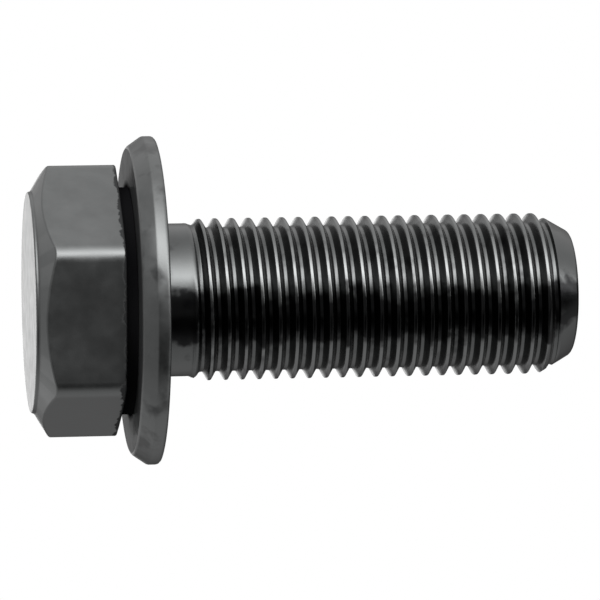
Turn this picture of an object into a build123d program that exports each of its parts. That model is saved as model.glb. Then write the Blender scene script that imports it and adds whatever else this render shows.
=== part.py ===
from build123d import *
import math
import os

# Hexagon flange bolt, forged head and rolled thread, all one piece of steel.
# Millimetres. The bolt stands on its head: z = 0 is the top face of the head, +Z runs to the tip.
# The shank has the outside diameter of its M12 x 1.25 right-hand thread.

# Shank
thread_diameter = 12.0
pitch = 1.25
length_under_head = 31.0
neck_length = 2.3
runout_length = 1.2
tip_chamfer_angle = 30.0
tip_chamfer_depth = 1.4
tip_edge_radius = 0.5

# Hexagon
across_flats = 17.95
hex_corner_radius = 1.1
hex_height = 6.5
head_face_diameter = 16.3
head_face_step = 0.25
head_chamfer_angle = 30.0
foot_corner_cut = 0.25

# Relief groove between the hexagon and the flange
groove_width = 0.85
groove_depth = 0.55

# Flange
flange_diameter = 24.3
flange_thickness = 2.05
flange_taper_width = 0.8
flange_taper_height = 1.15
flange_edge_radius = 0.3
neck_fillet = 0.4

# Heights along the bolt
flange_top_z = hex_height + groove_width
bearing_z = flange_top_z + flange_thickness
neck_end_z = bearing_z + neck_length
tip_z = bearing_z + length_under_head

# The blank is rolled up and down by equal amounts, so the plain neck lies at half the thread's
# depth. The depth is 17/24 of the sharp 60 degree triangle.
triangle_height = pitch * math.cos(math.radians(30))
thread_depth = triangle_height * 17 / 24
thread_radius = thread_diameter / 2
neck_radius = thread_radius - thread_depth / 2

# The corners of the hexagon reach this far from the axis once they are rounded
corner_centre = (across_flats / 2 - hex_corner_radius) / math.cos(math.radians(30))
corner_reach = corner_centre + hex_corner_radius

flange_radius = flange_diameter / 2
tip_radius = thread_radius - tip_chamfer_depth
tip_slope = math.tan(math.radians(tip_chamfer_angle))

# The cutting cones of the hexagon start this far outside its corners
clearance = 0.05


def turned(points, radii):
    """Revolve a closed outline of (radius, z) corners about the bolt's axis, each corner rounded."""
    with BuildPart() as body:
        with BuildSketch(Plane.XZ):
            with BuildLine():
                FilletPolyline(*points, radius=radii, close=True)
            make_face()
        revolve(axis=Axis.Z)
    return body.part


def hexagon_head():
    """Hexagon prism with rounded corners, cut by the chamfer cone of the face and the foot's cone."""
    face_radius = head_face_diameter / 2
    cone_radius = corner_reach + clearance
    chamfer_height = (cone_radius - face_radius) * math.tan(math.radians(head_chamfer_angle))
    foot_radius = corner_reach - foot_corner_cut

    with BuildPart() as head:
        with BuildSketch():
            RegularPolygon(across_flats / 2, 6, major_radius=False)
            fillet(vertices(), hex_corner_radius)
        extrude(amount=hex_height)
        with BuildSketch(Plane.XZ):
            with BuildLine():
                Polyline(
                    (0, 0),
                    (face_radius, 0),
                    (face_radius, head_face_step),
                    (cone_radius, head_face_step + chamfer_height),
                    (cone_radius, hex_height - foot_corner_cut - clearance),
                    (foot_radius, hex_height),
                    (0, hex_height),
                    close=True,
                )
            make_face()
        revolve(axis=Axis.Z, mode=Mode.INTERSECT)
    return head.part


def flange_and_shank():
    """Groove, flange, plain neck and shank as one turned form, down to the chamfered tip."""
    groove_radius = across_flats / 2 - groove_depth
    flange_face_radius = flange_radius - flange_taper_width
    corners = [
        ((0, hex_height - groove_width), 0),
        ((groove_radius, hex_height - groove_width), 0),
        ((groove_radius, flange_top_z), 0),
        ((flange_face_radius, flange_top_z), 0),
        ((flange_radius, flange_top_z + flange_taper_height), 0),
        ((flange_radius, bearing_z), flange_edge_radius),
        ((neck_radius, bearing_z), neck_fillet),
        ((neck_radius, neck_end_z), 0),
        ((thread_radius, neck_end_z + runout_length), 0),
        ((thread_radius, tip_z - tip_chamfer_depth / tip_slope), 0),
        ((tip_radius, tip_z), tip_edge_radius),
        ((0, tip_z), 0),
    ]
    return turned([point for point, _ in corners], [radius for _, radius in corners])


os.makedirs("parts", exist_ok=True)
bolt = hexagon_head() + flange_and_shank()
bolt.label = "flange_bolt"
export_step(bolt, "parts/flange_bolt.step")
print(f"solids {len(bolt.solids())}, volume {bolt.volume:.1f} mm3, valid {bolt.is_valid}")
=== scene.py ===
"""Studio scene of a black hexagon flange bolt that stands on its head."""

import logging
import math
from collections.abc import Callable, Sequence
from dataclasses import dataclass, field
from enum import Enum

import bmesh
import bpy
from mathutils import Matrix, Vector

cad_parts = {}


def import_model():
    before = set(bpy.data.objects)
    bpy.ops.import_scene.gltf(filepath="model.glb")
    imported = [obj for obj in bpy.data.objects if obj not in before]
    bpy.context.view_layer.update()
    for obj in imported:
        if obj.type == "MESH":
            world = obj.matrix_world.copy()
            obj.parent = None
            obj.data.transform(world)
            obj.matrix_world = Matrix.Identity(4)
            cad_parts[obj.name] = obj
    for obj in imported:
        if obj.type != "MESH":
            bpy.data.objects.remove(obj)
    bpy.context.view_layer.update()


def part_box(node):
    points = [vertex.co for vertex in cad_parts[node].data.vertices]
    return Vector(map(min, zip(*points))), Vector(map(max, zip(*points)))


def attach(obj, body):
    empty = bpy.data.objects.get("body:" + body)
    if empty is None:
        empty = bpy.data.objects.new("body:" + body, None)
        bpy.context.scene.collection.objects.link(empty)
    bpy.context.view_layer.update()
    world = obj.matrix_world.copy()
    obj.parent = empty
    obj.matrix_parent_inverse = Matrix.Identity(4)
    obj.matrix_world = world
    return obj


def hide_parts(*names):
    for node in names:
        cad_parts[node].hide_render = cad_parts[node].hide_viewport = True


logging.basicConfig(level=logging.INFO, format="%(message)s")
log = logging.getLogger("flange_bolt")

MM = 0.001
NODE = "flange_bolt"
AXIS = Vector((0, 0, 1))
UNITS = Matrix.Scale(MM, 4)

# Lean of a metric thread's flanks from square to its axis, and the angle that one side of a hexagon takes.
FLANK = math.radians(30)
SIXTH = math.tau / 6

# A Mix node's colour sockets share their names with those of its other types, so they go by number.
MIX_FIRST = 6
MIX_SECOND = 7
MIX_RESULT = 2

# A limit that every direction passes.
EVERYWHERE = (2.0, 1.0)

RingPoint = Callable[[float], tuple[float, float]]


def linear(code: str) -> tuple[float, float, float, float]:
    """Turn an sRGB hex colour to linear light.

    Args:
        code: Six hex digits after a hash sign.

    Returns:
        Linear red, green, blue and an alpha of one.
    """
    channels = [int(code[i : i + 2], 16) / 255 for i in (1, 3, 5)]
    light = [c / 12.92 if c <= 0.04045 else ((c + 0.055) / 1.055) ** 2.4 for c in channels]
    return (*light, 1.0)


def add_node(
    tree: bpy.types.NodeTree,
    kind: str,
    settings: dict[str, object] | None = None,
    inputs: dict[str | int, object] | None = None,
) -> bpy.types.Node:
    """Add one shader node.

    Args:
        tree: Node tree that gets the node.
        kind: Blender's name of the node type.
        settings: Properties of the node.
        inputs: Values for its sockets, or the sockets that feed them.

    Returns:
        The new node.
    """
    node = tree.nodes.new(kind)
    for name, value in (settings or {}).items():
        setattr(node, name, value)
    for name, value in (inputs or {}).items():
        if isinstance(value, bpy.types.NodeSocket):
            tree.links.new(value, node.inputs[name])
        else:
            node.inputs[name].default_value = value
    return node


class Tone(Enum):
    """Colours of the finish and of the studio."""

    OXIDE_DARK = "#424343"
    OXIDE_LIGHT = "#4f5050"
    OXIDE_ROLLED = "#383939"
    OXIDE_WORN = "#656666"
    # Black of the oil stains, and also of the painted dark reflection and the painted shade in the groove.
    STAIN_AND_SHADE = "#0c0c0d"
    FLOOR = "#a8a7a4"
    WHITE = "#ffffff"


@dataclass(frozen=True)
class Surface:
    """Sockets with what a finish reads of each point on the bolt. Lengths are metres."""

    spoke: bpy.types.NodeSocket
    radius: bpy.types.NodeSocket
    height: bpy.types.NodeSocket
    mottle: bpy.types.NodeSocket
    grain: bpy.types.NodeSocket
    blotch: bpy.types.NodeSocket


@dataclass(frozen=True)
class BlackOxideSteel:
    """Steel with a black oxide conversion coat under a film of oil.

    The coat is a fraction of a micrometre thick, so the forged and rolled surface shows through it:
    dark grey metal with a soft sheen and a fine mottle. The forged head is a little lighter than the
    rolled thread, whose crests are rubbed paler. Oil leaves black stains on the flange and the neck.
    A dark reflection is painted in black along the side of the neck and thread that faces the camera,
    and painted shade fills the groove, creeps over the hexagon's foot and darkens the flange's face.

    A pattern is the size of its patches in millimetres and its octaves of finer noise. The real grain
    is a few hundredths of a millimetre, and it is drawn coarser so that it shows. An edge is where its
    mask starts and where it is full.
    """

    mottle: tuple[float, float] = (1.6, 5.0)
    grain: tuple[float, float] = (0.16, 2.0)
    blotch: tuple[float, float] = (2.6, 3.0)
    noise_roughness: float = 0.6
    grain_depth_mm: float = 0.004
    grain_strength: float = 0.6
    mottle_edge: tuple[float, float] = (0.3, 0.7)
    roughness: tuple[float, float] = (0.30, 0.40)
    rolled_smoothness: float = 0.12
    rolled_edge_mm: tuple[float, float] = (-0.05, 0.15)
    rolled_share: float = 0.7
    rubbed_depth_mm: float = 0.12
    rubbed_share: float = 0.35
    stain_edge: tuple[float, float] = (0.54, 0.68)
    stain_share: float = 0.55
    stain_start_mm: float = 0.2
    # Painted dark reflection: black is painted on the neck and thread along the side that faces the camera,
    # with an uneven edge.
    dark_reflection_side: tuple[float, float, float] = (0.08, -0.997, 0.0)
    dark_reflection_wander: float = 0.4
    dark_reflection_edge: tuple[float, float] = (1.115, 1.165)
    dark_reflection_share: float = 0.85
    # Painted shade: black fills the relief groove, creeps over the hexagon's foot and, a little weaker,
    # darkens the flange's face.
    groove_shade_edge_mm: tuple[float, float] = (0.1, 0.6)
    face_shade_share: float = 0.8
    shade_top_edge_mm: tuple[float, float] = (0.15, 0.02)
    unshaded_specular: float = 0.5
    shade_creep_mm: float = 1.5
    shade_creep_drop_mm: float = 0.22
    shade_creep_edge_mm: float = 0.12

    def build(self, bolt: "FlangeBolt") -> bpy.types.Material:
        """Make the material.

        Args:
            bolt: Sizes that place the rolled part, the rubbed crests and the dark groove.

        Returns:
            The finished material.
        """
        material = bpy.data.materials.new("black_oxide_steel")
        material.use_nodes = True
        tree = material.node_tree
        tree.nodes.clear()
        surface = self._surface(tree)
        # Painted shade in the groove and on the flange's face.
        groove_shade = self._painted_shade(tree, surface, bolt)
        rolled_start, rolled_full = ((bolt.bearing_height + edge) * MM for edge in self.rolled_edge_mm)

        # Each span is a value, where it starts and ends, and what it turns to there.
        rolled, smooth, metallic, specular = (
            add_node(tree, "ShaderNodeMapRange", inputs=dict(enumerate(span))).outputs["Result"]
            for span in (
                (surface.height, rolled_start, rolled_full, 0.0, 1.0),
                (surface.mottle, *self.mottle_edge, *self.roughness),
                # In the painted shade the surface loses its metal and its specular, so it reads black.
                (groove_shade, 0.0, 1.0, 1.0, 0.0),
                (groove_shade, 0.0, self.face_shade_share, self.unshaded_specular, 0.0),
            )
        )
        roughness = add_node(
            tree,
            "ShaderNodeMath",
            {"operation": "MULTIPLY_ADD"},
            {0: rolled, 1: -self.rolled_smoothness, 2: smooth},
        ).outputs["Value"]
        bump = add_node(
            tree,
            "ShaderNodeBump",
            inputs={
                "Height": surface.grain,
                "Distance": self.grain_depth_mm * MM,
                "Strength": self.grain_strength,
            },
        ).outputs["Normal"]
        shader = add_node(
            tree,
            "ShaderNodeBsdfPrincipled",
            inputs={
                "Base Color": self._coat(tree, surface, rolled, groove_shade, bolt),
                "Metallic": metallic,
                "Specular IOR Level": specular,
                "Roughness": roughness,
                "Normal": bump,
            },
        )
        add_node(tree, "ShaderNodeOutputMaterial", inputs={"Surface": shader.outputs["BSDF"]})
        return material

    def _surface(self, tree: bpy.types.NodeTree) -> Surface:
        """Read a point's place round and along the bolt, and the patterns there.

        Args:
            tree: The material's node tree.

        Returns:
            Sockets with what was read.
        """
        place = add_node(tree, "ShaderNodeTexCoord").outputs["Object"]
        parts = add_node(tree, "ShaderNodeSeparateXYZ", inputs={"Vector": place}).outputs
        level = {"X": parts["X"], "Y": parts["Y"]}
        spoke = add_node(tree, "ShaderNodeCombineXYZ", inputs=level).outputs["Vector"]
        radius = add_node(tree, "ShaderNodeVectorMath", {"operation": "LENGTH"}, {0: spoke})
        mottle, grain, blotch = (
            add_node(
                tree,
                "ShaderNodeTexNoise",
                inputs={
                    "Vector": place,
                    "Scale": 1 / (patch_mm * MM),
                    "Detail": octaves,
                    "Roughness": self.noise_roughness,
                },
            ).outputs["Fac"]
            for patch_mm, octaves in (self.mottle, self.grain, self.blotch)
        )
        return Surface(spoke, radius.outputs["Value"], parts["Z"], mottle, grain, blotch)

    def _coat(
        self,
        tree: bpy.types.NodeTree,
        surface: Surface,
        rolled: bpy.types.NodeSocket,
        groove_shade: bpy.types.NodeSocket,
        bolt: "FlangeBolt",
    ) -> bpy.types.NodeSocket:
        """Lay the colours over each other: mottle, rolled part, rubbed crests, stains, painted dark
        reflection and painted shade.

        Args:
            tree: The material's node tree.
            surface: What the finish reads of each point.
            rolled: Mask of the neck and the thread.
            groove_shade: Mask of the painted shade in the groove and on the flange's face.
            bolt: Sizes that place the rubbed crests and the stains.

        Returns:
            Socket with the colour.
        """
        crest = bolt.thread_radius * MM
        flange = bolt.flange_top * MM
        stained, past_groove, rubbed, dark_reflection = (
            add_node(tree, "ShaderNodeMapRange", inputs=dict(enumerate(span))).outputs["Result"]
            for span in (
                (surface.blotch, *self.stain_edge, 0.0, self.stain_share),
                (surface.height, flange, flange + self.stain_start_mm * MM, 0.0, 1.0),
                (surface.radius, crest - self.rubbed_depth_mm * MM, crest, 0.0, self.rubbed_share),
                # Painted dark reflection on the side that faces the camera.
                (self._dark_reflection(tree, surface), *self.dark_reflection_edge, 0.0, self.dark_reflection_share),
            )
        )
        layers = (
            (surface.mottle, 1.0, Tone.OXIDE_LIGHT),
            (rolled, self.rolled_share, Tone.OXIDE_ROLLED),
            (rubbed, rolled, Tone.OXIDE_WORN),
            (stained, past_groove, Tone.STAIN_AND_SHADE),
            # Painted dark reflection on the neck and thread.
            (dark_reflection, rolled, Tone.STAIN_AND_SHADE),
            # Painted shade in the groove and on the flange's face.
            (groove_shade, 1.0, Tone.STAIN_AND_SHADE),
        )
        coat: object = linear(Tone.OXIDE_DARK.value)
        for mask, share, tone in layers:
            factor = add_node(tree, "ShaderNodeMath", {"operation": "MULTIPLY"}, {0: mask, 1: share})
            coat = add_node(
                tree,
                "ShaderNodeMix",
                {"data_type": "RGBA"},
                {"Factor": factor.outputs["Value"], MIX_FIRST: coat, MIX_SECOND: linear(tone.value)},
            ).outputs[MIX_RESULT]
        return coat

    def _dark_reflection(self, tree: bpy.types.NodeTree, surface: Surface) -> bpy.types.NodeSocket:
        """Tell how squarely a point faces the side towards the camera, where a dark reflection is painted,
        with an uneven edge.

        Args:
            tree: The material's node tree.
            surface: What the finish reads of each point.

        Returns:
            Socket with the value.
        """
        outward = add_node(tree, "ShaderNodeVectorMath", {"operation": "NORMALIZE"}, {0: surface.spoke})
        facing = add_node(
            tree,
            "ShaderNodeVectorMath",
            {"operation": "DOT_PRODUCT"},
            {0: outward.outputs["Vector"], 1: self.dark_reflection_side},
        )
        return add_node(
            tree,
            "ShaderNodeMath",
            {"operation": "MULTIPLY_ADD"},
            {0: surface.blotch, 1: self.dark_reflection_wander, 2: facing.outputs["Value"]},
        ).outputs["Value"]

    def _painted_shade(self, tree: bpy.types.NodeTree, surface: Surface, bolt: "FlangeBolt") -> bpy.types.NodeSocket:
        """Mask of the painted shade that fills the relief groove, and of the weaker painted shade on the
        flange's face.

        The edge of the painted shade creeps unevenly over the foot of the hexagon.

        Args:
            tree: The material's node tree.
            surface: What the finish reads of each point.
            bolt: Sizes of the groove.

        Returns:
            Socket with the mask.
        """
        shade_creep = add_node(
            tree,
            "ShaderNodeMath",
            {"operation": "MULTIPLY_ADD"},
            {0: surface.mottle, 1: self.shade_creep_mm * MM, 2: surface.height},
        ).outputs["Value"]
        foot = bolt.hex_height + self.shade_creep_mm / 2 - self.shade_creep_drop_mm
        groove_shade_start, groove_shade_end = (bolt.groove_radius + edge for edge in self.groove_shade_edge_mm)
        shade_top_start, shade_top_full = (bolt.flange_top + edge for edge in self.shade_top_edge_mm)
        mask: object = 1.0
        for value, start, end, first, last in (
            (surface.radius, groove_shade_start, groove_shade_end, 1.0, self.face_shade_share),
            (shade_creep, foot - self.shade_creep_edge_mm, foot, 0.0, 1.0),
            (surface.height, shade_top_start, shade_top_full, 0.0, 1.0),
        ):
            span = {0: value, 1: start * MM, 2: end * MM, 3: first, 4: last}
            part = add_node(tree, "ShaderNodeMapRange", inputs=span).outputs["Result"]
            both = add_node(tree, "ShaderNodeMath", {"operation": "MULTIPLY"}, {0: mask, 1: part})
            mask = both.outputs["Value"]
        return mask


@dataclass
class FlangeBolt:
    """One-piece hexagon flange bolt. Lengths are millimetres, heights count from the head's face."""

    tip_height: float
    flange_radius: float
    apothem: float = 8.975
    corner_rounding: float = 1.4
    side_points: int = 26
    corner_points: int = 3
    face_radius: float = 8.15
    face_step: float = 0.25
    step_lean: float = 0.05
    chamfer_slope: float = math.tan(math.radians(30))
    hex_height: float = 6.5
    foot_fall: float = 0.05
    groove_radius: float = 8.4
    flange_top: float = 7.35
    flange_face_radius: float = 11.35
    taper_height: float = 1.15
    bearing_height: float = 9.4
    face_bevel: float = 0.12
    step_bevel: float = 0.1
    hexagon_bevel: float = 0.14
    groove_fillet: float = 0.12
    flange_bevel: float = 0.22
    taper_bevel: float = 0.12
    rim_bevel: float = 0.3
    neck_fillet: float = 0.3
    bevel_steps: int = 3
    pitch: float = 1.25
    thread_radius: float = 6.0
    crest_flat: float = 0.11
    crest_rounding: float = 0.09
    root_flat: float = 0.12
    root_rounding: float = 0.13
    neck_length: float = 2.0
    fade_length: float = 1.5
    spare_turns: int = 2
    tip_radius: float = 4.6
    cone_angle: float = math.radians(30)
    cone_margin: float = 0.1
    tip_rounding: float = 0.5
    turn_steps: int = 96
    arc_steps: int = 4
    weld_distance: float = 0.004
    cut_tolerance: float = 0.0005
    rim_tolerance: float = 0.003
    sharp_angle: float = math.radians(40)
    normal_weight: int = 100
    mesh: bmesh.types.BMesh = field(default_factory=bmesh.new)

    @property
    def thread_depth(self) -> float:
        """Depth of the 60 degree profile between its rounded flats at the crest and the root."""
        sloped = (self.pitch - self.crest_flat - self.root_flat) * math.cos(FLANK)
        return sloped - self.crest_rounding - self.root_rounding

    @property
    def root_radius(self) -> float:
        """Radius at the bottom of the thread."""
        return self.thread_radius - self.thread_depth

    @property
    def blank_radius(self) -> float:
        """Radius of the blank before rolling, which the plain neck keeps."""
        return self.thread_radius - self.thread_depth / 2

    @property
    def neck_top(self) -> float:
        """Height where the plain neck ends and the thread begins to show."""
        return self.bearing_height + self.neck_length

    @property
    def neck_end(self) -> float:
        """Height where the turned body ends and is joined to the thread."""
        return self.neck_top - self.pitch

    @property
    def thread_foot(self) -> float:
        """Height where the thread is cut off below, in its faded part."""
        return self.neck_top - self.pitch / 2

    @property
    def tip_slope(self) -> float:
        """Fall of the tip's radius for each millimetre of height."""
        return math.tan(self.cone_angle)

    @property
    def cone_start(self) -> float:
        """Height where the tip's cone lies below the thread's root, so that no groove is left."""
        fall = self.root_radius - self.cone_margin - self.tip_radius
        return self.tip_height - fall / self.tip_slope

    @property
    def corner_centre(self) -> float:
        """Distance from the axis to the centre of a corner's rounding."""
        return (self.apothem - self.corner_rounding) / math.cos(SIXTH / 2)

    @property
    def rounding_angle(self) -> float:
        """Half the angle that a rounded corner takes, seen from the axis."""
        along = self.corner_centre + self.corner_rounding * math.cos(SIXTH / 2)
        return math.atan2(self.corner_rounding * math.sin(SIXTH / 2), along)

    def profile(self) -> list[Vector]:
        """Outline of one pitch of thread, from the middle of one root to the middle of the next.

        Returns:
            Points as (radius, 0, height), upwards.
        """
        steepest = math.pi / 2 - FLANK
        turns = [steepest * step / self.arc_steps for step in range(self.arc_steps + 1)]
        root = [(self.root_radius, 0.0)]
        for turn in turns:
            rise = self.root_rounding * (1 - math.cos(turn))
            root.append((self.root_radius + rise, self.root_flat / 2 + self.root_rounding * math.sin(turn)))
        crest = []
        for turn in reversed(turns):
            fall = self.crest_rounding * (1 - math.cos(turn))
            along = (self.pitch - self.crest_flat) / 2 - self.crest_rounding * math.sin(turn)
            crest.append((self.thread_radius - fall, along))
        crest.append((self.thread_radius, self.pitch / 2))
        low, high = Vector(root[-1]), Vector(crest[0])
        flank = [tuple(low.lerp(high, share)) for share in (1 / 3, 2 / 3)]
        rising = root + flank + crest
        falling = [(radius, self.pitch - height) for radius, height in reversed(rising[:-1])]
        return [Vector((radius, 0, height)) for radius, height in rising + falling]

    def thread(self) -> None:
        """Wind the thread as a right-hand helix, fade it into the neck and cut its tip to a cone."""
        shown = math.ceil((self.tip_height - self.neck_top) / self.pitch)
        turns = shown + self.spare_turns + 1
        start = self.neck_top - self.spare_turns * self.pitch
        outline = [self.mesh.verts.new(point + AXIS * start) for point in self.profile()]
        edges = [self.mesh.edges.new(pair) for pair in zip(outline, outline[1:])]
        bmesh.ops.spin(
            self.mesh,
            geom=outline + edges,
            cent=(0, 0, 0),
            axis=AXIS,
            dvec=AXIS * (self.pitch / self.turn_steps),
            angle=math.tau,
            steps=self.turn_steps,
        )
        one_turn = self.mesh.verts[:] + self.mesh.edges[:] + self.mesh.faces[:]
        for turn in range(1, turns):
            copy = bmesh.ops.duplicate(self.mesh, geom=one_turn)["geom"]
            verts = [item for item in copy if isinstance(item, bmesh.types.BMVert)]
            bmesh.ops.translate(self.mesh, verts=verts, vec=AXIS * (self.pitch * turn))
        bmesh.ops.remove_doubles(self.mesh, verts=self.mesh.verts, dist=self.weld_distance)
        for vert in self.mesh.verts:
            self._trim(vert)
        self._cut(self.thread_foot, keep_above=True)
        self._cut(self.cone_start, keep_above=False)

    def _trim(self, vert: bmesh.types.BMVert) -> None:
        """Bring one thread point to the neck's fade and under the tip's cone.

        Args:
            vert: Point of the thread, which is moved towards or from the axis.
        """
        radius = math.hypot(vert.co.x, vert.co.y)
        share = min(max((vert.co.z - self.neck_top) / self.fade_length, 0), 1)
        eased = share * share * (3 - 2 * share)
        wanted = self.blank_radius + (radius - self.blank_radius) * eased
        cone = self.tip_radius + (self.tip_height - vert.co.z) * self.tip_slope
        wanted = min(wanted, max(cone, self.tip_radius))
        vert.co.x *= wanted / radius
        vert.co.y *= wanted / radius

    def _cut(self, height: float, keep_above: bool) -> None:
        """Cut the mesh square to the axis.

        Args:
            height: Where to cut.
            keep_above: True to keep what lies above the cut, False to keep what lies below.
        """
        bmesh.ops.bisect_plane(
            self.mesh,
            geom=self.mesh.verts[:] + self.mesh.edges[:] + self.mesh.faces[:],
            dist=self.cut_tolerance,
            plane_co=AXIS * height,
            plane_no=AXIS,
            clear_inner=keep_above,
            clear_outer=not keep_above,
        )

    def _rim(self, height: float) -> list[bmesh.types.BMEdge]:
        """Find the open edges at a height.

        Args:
            height: Height of the open rim.

        Returns:
            Its edges.
        """
        return [
            edge
            for edge in self.mesh.edges
            if edge.is_boundary and all(abs(vert.co.z - height) < self.rim_tolerance for vert in edge.verts)
        ]

    def tip(self) -> None:
        """Carry the thread's cone on to the rounded edge and the flat end."""
        rim = self._rim(self.cone_start)
        turn = math.pi / 2 - self.cone_angle
        centre = self.tip_radius - self.tip_rounding * math.tan(turn / 2)
        steps = self.arc_steps + 1
        for step in range(steps + 1):
            lean = self.cone_angle + turn * step / steps
            radius = centre + self.tip_rounding * math.cos(lean)
            height = self.tip_height - self.tip_rounding * (1 - math.sin(lean))
            made = bmesh.ops.extrude_edge_only(self.mesh, edges=rim)["geom"]
            rim = [item for item in made if isinstance(item, bmesh.types.BMEdge)]
            for vert in {vert for edge in rim for vert in edge.verts}:
                scale = radius / math.hypot(vert.co.x, vert.co.y)
                vert.co = Vector((vert.co.x * scale, vert.co.y * scale, height))
        bmesh.ops.edgeloop_fill(self.mesh, edges=rim)

    def hexagon(self, angle: float) -> float:
        """Distance from the axis to the rounded hexagon.

        Args:
            angle: Direction from the axis, with a corner at nothing.

        Returns:
            The distance.
        """
        away = abs((angle + SIXTH / 2) % SIXTH - SIXTH / 2)
        if away < self.rounding_angle:
            reach = self.corner_rounding**2 - (self.corner_centre * math.sin(away)) ** 2
            return self.corner_centre * math.cos(away) + math.sqrt(reach)
        return self.apothem / math.cos(SIXTH / 2 - away)

    def _crowded(self, share: float) -> float:
        """Crowd the points of a ring at the six rounded corners.

        Args:
            share: Even share of a full turn.

        Returns:
            The angle for that point, in radians.
        """
        whole, part = divmod(share * 6 + 0.5, 1)
        part -= 0.5
        near = self.corner_points / self.side_points
        if abs(part) <= near:
            offset = part / near * self.rounding_angle
        else:
            rest = (abs(part) - near) / (0.5 - near)
            offset = math.copysign(self.rounding_angle + rest * (SIXTH / 2 - self.rounding_angle), part)
        return whole * SIXTH + offset

    def _chamfer(self, angle: float) -> tuple[float, float]:
        """Radius and height where the cone of the head's face meets the hexagon."""
        radius = self.hexagon(angle)
        return radius, self.face_step + (radius - self.face_radius) * self.chamfer_slope

    def _foot(self, angle: float) -> tuple[float, float]:
        """Radius and height of the hexagon's foot, which falls away a little at the corners."""
        radius = self.hexagon(angle)
        return radius, self.hex_height - (radius - self.apothem) * self.foot_fall

    def rings(self) -> list[tuple[RingPoint, float]]:
        """Rings of the body from the head's face to the neck, each with the width of its bevel.

        Returns:
            Functions from an angle to (radius, height), with bevel widths.
        """
        return [
            (lambda angle: (self.face_radius, 0), self.face_bevel),
            (lambda angle: (self.face_radius + self.step_lean, self.face_step), self.step_bevel),
            (self._chamfer, self.hexagon_bevel),
            (self._foot, self.hexagon_bevel),
            (lambda angle: (self.groove_radius, self.hex_height), 0),
            (lambda angle: (self.groove_radius, self.flange_top), self.groove_fillet),
            (lambda angle: (self.flange_face_radius, self.flange_top), self.flange_bevel),
            (lambda angle: (self.flange_radius, self.flange_top + self.taper_height), self.taper_bevel),
            (lambda angle: (self.flange_radius, self.bearing_height), self.rim_bevel),
            (lambda angle: (self.blank_radius, self.bearing_height), self.neck_fillet),
            (lambda angle: (self.blank_radius, self.neck_end), 0),
        ]

    def body(self) -> None:
        """Draw the head, groove, flange and neck up as rings and round their edges."""
        segments = 6 * self.side_points
        marks = self.mesh.edges.layers.int.new("ring")
        rings = self.rings()
        circle = bmesh.ops.create_circle(
            self.mesh, segments=segments, radius=self.face_radius, cap_ends=False
        )
        verts = sorted(circle["verts"], key=lambda vert: math.atan2(vert.co.y, vert.co.x) % math.tau)
        for index, vert in enumerate(verts):
            angle = self._crowded(index / segments)
            vert.co = Vector((self.face_radius * math.cos(angle), self.face_radius * math.sin(angle), 0))
        rim = list({edge for vert in verts for edge in vert.link_edges})
        bmesh.ops.edgeloop_fill(self.mesh, edges=rim)
        for number, (place, _) in enumerate(rings, start=1):
            if number > 1:
                made = bmesh.ops.extrude_edge_only(self.mesh, edges=rim)["geom"]
                rim = [item for item in made if isinstance(item, bmesh.types.BMEdge)]
                for vert in {vert for edge in rim for vert in edge.verts}:
                    angle = math.atan2(vert.co.y, vert.co.x)
                    radius, height = place(angle)
                    vert.co = Vector((radius * math.cos(angle), radius * math.sin(angle), height))
            for edge in rim:
                edge[marks] = number
        for number, (_, width) in enumerate(rings, start=1):
            if width:
                bmesh.ops.bevel(
                    self.mesh,
                    geom=[edge for edge in self.mesh.edges if edge[marks] == number],
                    offset=width,
                    offset_type="OFFSET",
                    affect="EDGES",
                    segments=self.bevel_steps,
                    profile=0.5,
                    material=-1,
                )

    def build(self) -> bpy.types.Object:
        """Make the bolt as one closed mesh.

        Returns:
            The bolt's object.
        """
        self.thread()
        self.tip()
        self.body()
        rims = self._rim(self.neck_end) + self._rim(self.thread_foot)
        bmesh.ops.bridge_loops(self.mesh, edges=rims)
        bmesh.ops.triangulate(self.mesh, faces=[face for face in self.mesh.faces if len(face.verts) > 4])
        bmesh.ops.recalc_face_normals(self.mesh, faces=self.mesh.faces)
        bmesh.ops.transform(self.mesh, matrix=UNITS, verts=self.mesh.verts)
        open_edges = sum(1 for edge in self.mesh.edges if not edge.is_manifold)
        if open_edges:
            log.warning("bolt: %d open edges", open_edges)
        for face in self.mesh.faces:
            face.smooth = True
        data = bpy.data.meshes.new("bolt")
        self.mesh.to_mesh(data)
        self.mesh.free()
        data.set_sharp_from_angle(angle=self.sharp_angle)
        bolt = bpy.data.objects.new("bolt", data)
        bpy.context.scene.collection.objects.link(bolt)
        even = bolt.modifiers.new("even_normals", "WEIGHTED_NORMAL")
        even.keep_sharp = True
        even.weight = self.normal_weight
        return bolt

    def dress(self, bolt: bpy.types.Object) -> None:
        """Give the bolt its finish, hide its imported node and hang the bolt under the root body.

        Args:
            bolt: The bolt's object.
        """
        bolt.data.materials.append(BlackOxideSteel().build(self))
        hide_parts(NODE)
        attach(bolt, "root")


@dataclass(frozen=True)
class Wall:
    """One glowing part of the surround, from where its glow starts to where it is full.

    Each pair holds shares of the direction along the bolt, towards the camera or across both.
    """

    radiance: float
    along: tuple[float, float]
    towards: tuple[float, float] = EVERYWHERE
    across: tuple[float, float] = EVERYWHERE


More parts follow.
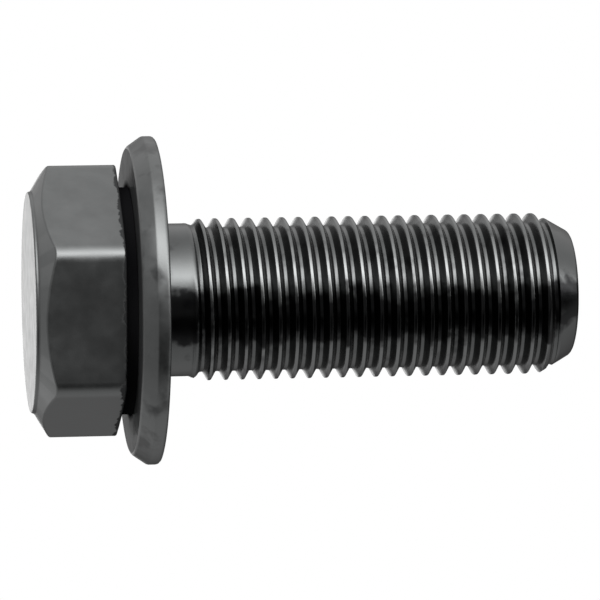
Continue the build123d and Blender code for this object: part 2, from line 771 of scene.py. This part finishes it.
@dataclass
class Studio:
    """Pale floor, white surround with a ring of soft light, and the long-lens camera.

    A stop of the glow is an angle in degrees, counted round the bolt from the camera's side over the
    top, and the radiance there.
    """

    distance: float = 0.320
    lens: float = 258.3
    below_horizon: float = math.radians(7.4)
    turned: float = math.radians(-9.9)
    roll: float = math.radians(1.07)
    aim_height: float = 0.02018
    aim_drop: float = 0.00018
    clip: tuple[float, float] = (0.05, 10.0)
    floor_size: float = 3.0
    floor_gap: float = 0.05 * MM
    brightest: float = 14.0
    walls: tuple[Wall, ...] = (
        Wall(along=(-0.35, -0.8), radiance=0.95),
        Wall(along=(-0.4, -0.75), towards=(0.1, -0.4), radiance=1.6),
        Wall(along=(-0.03, -0.12), towards=(-0.7, -0.9), across=(0.22, 0.1), radiance=1.85),
    )
    glow: tuple[tuple[float, float], ...] = (
        (-180, 0.1),
        (-157, 0.1),
        (-140, 0.42),
        (-128, 0.8),
        (-110, 1.3),
        (-82, 1.4),
        (-65, 0.9),
        (-55, 0.3),
        (-45, 0.03),
        (-30, 0.03),
        (-20, 0.55),
        (-8, 0.3),
        (0, 0.35),
        (8, 0.7),
        (16, 2.0),
        (25, 7.0),
        (35, 12.6),
        (45, 10.0),
        (55, 7.0),
        (65, 4.6),
        (77, 3.1),
        (90, 2.3),
        (105, 2.0),
        (120, 1.9),
        (140, 1.2),
        (155, 0.4),
        (170, 0.15),
        (180, 0.1),
    )
    back: Vector = field(init=False)
    right: Vector = field(init=False)
    up: Vector = field(init=False)

    def __post_init__(self) -> None:
        """Work out the camera's own directions."""
        level = Vector((math.sin(self.turned), -math.cos(self.turned), 0))
        self.back = level * math.cos(self.below_horizon) - AXIS * math.sin(self.below_horizon)
        along = (AXIS - self.back * AXIS.dot(self.back)).normalized()
        across = self.back.cross(along)
        self.right = along * math.cos(self.roll) - across * math.sin(self.roll)
        self.up = across * math.cos(self.roll) + along * math.sin(self.roll)

    @property
    def aim(self) -> Vector:
        """Point that the camera looks at."""
        return AXIS * self.aim_height - self.up * self.aim_drop

    def camera(self) -> None:
        """Place the camera."""
        data = bpy.data.cameras.new("camera")
        data.lens = self.lens
        data.clip_start, data.clip_end = self.clip
        camera = bpy.data.objects.new("camera", data)
        turn = Matrix((self.right, self.up, self.back)).transposed()
        camera.matrix_world = Matrix.Translation(self.aim + self.back * self.distance) @ turn.to_4x4()
        bpy.context.scene.collection.objects.link(camera)
        bpy.context.scene.camera = camera

    def surround(self) -> None:
        """White to the eye. Reflections see soft light round the bolt and a bright wall past its head."""
        world = bpy.data.worlds.new("surround")
        world.use_nodes = True
        tree = world.node_tree
        tree.nodes.clear()
        way = add_node(tree, "ShaderNodeTexCoord").outputs["Generated"]
        across, towards, along = (
            add_node(
                tree, "ShaderNodeVectorMath", {"operation": "DOT_PRODUCT"}, {0: way, 1: tuple(side)}
            ).outputs["Value"]
            for side in (self.up, self.back, self.right)
        )
        level = add_node(tree, "ShaderNodeMath", {"operation": "ARCTAN2"}, {0: across, 1: towards})
        whole_turn = {0: level.outputs["Value"], 1: -math.pi, 2: math.pi}
        turned = add_node(tree, "ShaderNodeMapRange", inputs=whole_turn).outputs["Result"]
        ramp = add_node(tree, "ShaderNodeValToRGB", inputs={"Fac": turned})
        stops = ramp.color_ramp.elements
        stops.remove(stops[0])
        for number, (angle, radiance) in enumerate(self.glow):
            place = (angle + 180) / 360
            stop = stops[0] if number == 0 else stops.new(place)
            stop.position = place
            stop.color = self._grey(radiance)
        glow = ramp.outputs["Color"]
        aside = add_node(tree, "ShaderNodeMath", {"operation": "ABSOLUTE"}, {0: across}).outputs["Value"]
        for wall in self.walls:
            limits = ((along, wall.along), (towards, wall.towards), (aside, wall.across))
            share: object = 1.0
            for value, (start, full) in limits:
                span = {0: value, 1: start, 2: full}
                part = add_node(tree, "ShaderNodeMapRange", inputs=span).outputs["Result"]
                both = add_node(tree, "ShaderNodeMath", {"operation": "MULTIPLY"}, {0: share, 1: part})
                share = both.outputs["Value"]
            colours = {"Factor": share, MIX_FIRST: glow, MIX_SECOND: self._grey(wall.radiance)}
            glow = add_node(tree, "ShaderNodeMix", {"data_type": "RGBA"}, colours).outputs[MIX_RESULT]
        studio = add_node(tree, "ShaderNodeBackground", inputs={"Color": glow, "Strength": self.brightest})
        white = add_node(
            tree, "ShaderNodeBackground", inputs={"Color": linear(Tone.WHITE.value), "Strength": 1.0}
        )
        seen = add_node(tree, "ShaderNodeLightPath").outputs["Is Camera Ray"]
        mix = add_node(
            tree,
            "ShaderNodeMixShader",
            inputs={0: seen, 1: studio.outputs["Background"], 2: white.outputs["Background"]},
        )
        add_node(tree, "ShaderNodeOutputWorld", inputs={"Surface": mix.outputs["Shader"]})
        bpy.context.scene.world = world

    def _grey(self, radiance: float) -> tuple[float, float, float, float]:
        """Turn a radiance to a grey below the surround's strength."""
        return (radiance / self.brightest,) * 3 + (1.0,)

    def floor(self) -> None:
        """Lay a pale floor that shows from above only, so that a low camera still sees the head."""
        mesh = bmesh.new()
        bmesh.ops.create_grid(mesh, x_segments=1, y_segments=1, size=self.floor_size)
        bmesh.ops.translate(mesh, verts=mesh.verts, vec=AXIS * -self.floor_gap)
        data = bpy.data.meshes.new("floor")
        mesh.to_mesh(data)
        mesh.free()
        floor = bpy.data.objects.new("floor", data)
        bpy.context.scene.collection.objects.link(floor)
        floor.visible_diffuse = floor.visible_glossy = floor.visible_shadow = False

        material = bpy.data.materials.new("pale_floor")
        material.use_nodes = True
        tree = material.node_tree
        tree.nodes.clear()
        pale = add_node(
            tree, "ShaderNodeBsdfDiffuse", inputs={"Color": linear(Tone.FLOOR.value)}
        ).outputs["BSDF"]
        clear = add_node(tree, "ShaderNodeBsdfTransparent").outputs["BSDF"]
        under = add_node(tree, "ShaderNodeNewGeometry").outputs["Backfacing"]
        mix = add_node(tree, "ShaderNodeMixShader", inputs={0: under, 1: pale, 2: clear})
        add_node(tree, "ShaderNodeOutputMaterial", inputs={"Surface": mix.outputs["Shader"]})
        data.materials.append(material)

    def build(self) -> None:
        """Set up the whole studio."""
        self.camera()
        self.surround()
        self.floor()
        bpy.context.scene.view_settings.view_transform = "Standard"


def main() -> None:
    """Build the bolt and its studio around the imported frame."""
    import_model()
    _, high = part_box(NODE)
    sizes = FlangeBolt(tip_height=high[2] / MM, flange_radius=high[0] / MM)
    bolt = sizes.build()
    sizes.dress(bolt)
    log.info("bolt: %d faces", len(bolt.data.polygons))
    Studio().build()
    log.info("studio: camera, surround and floor")


if __name__ == "__main__":
    main()
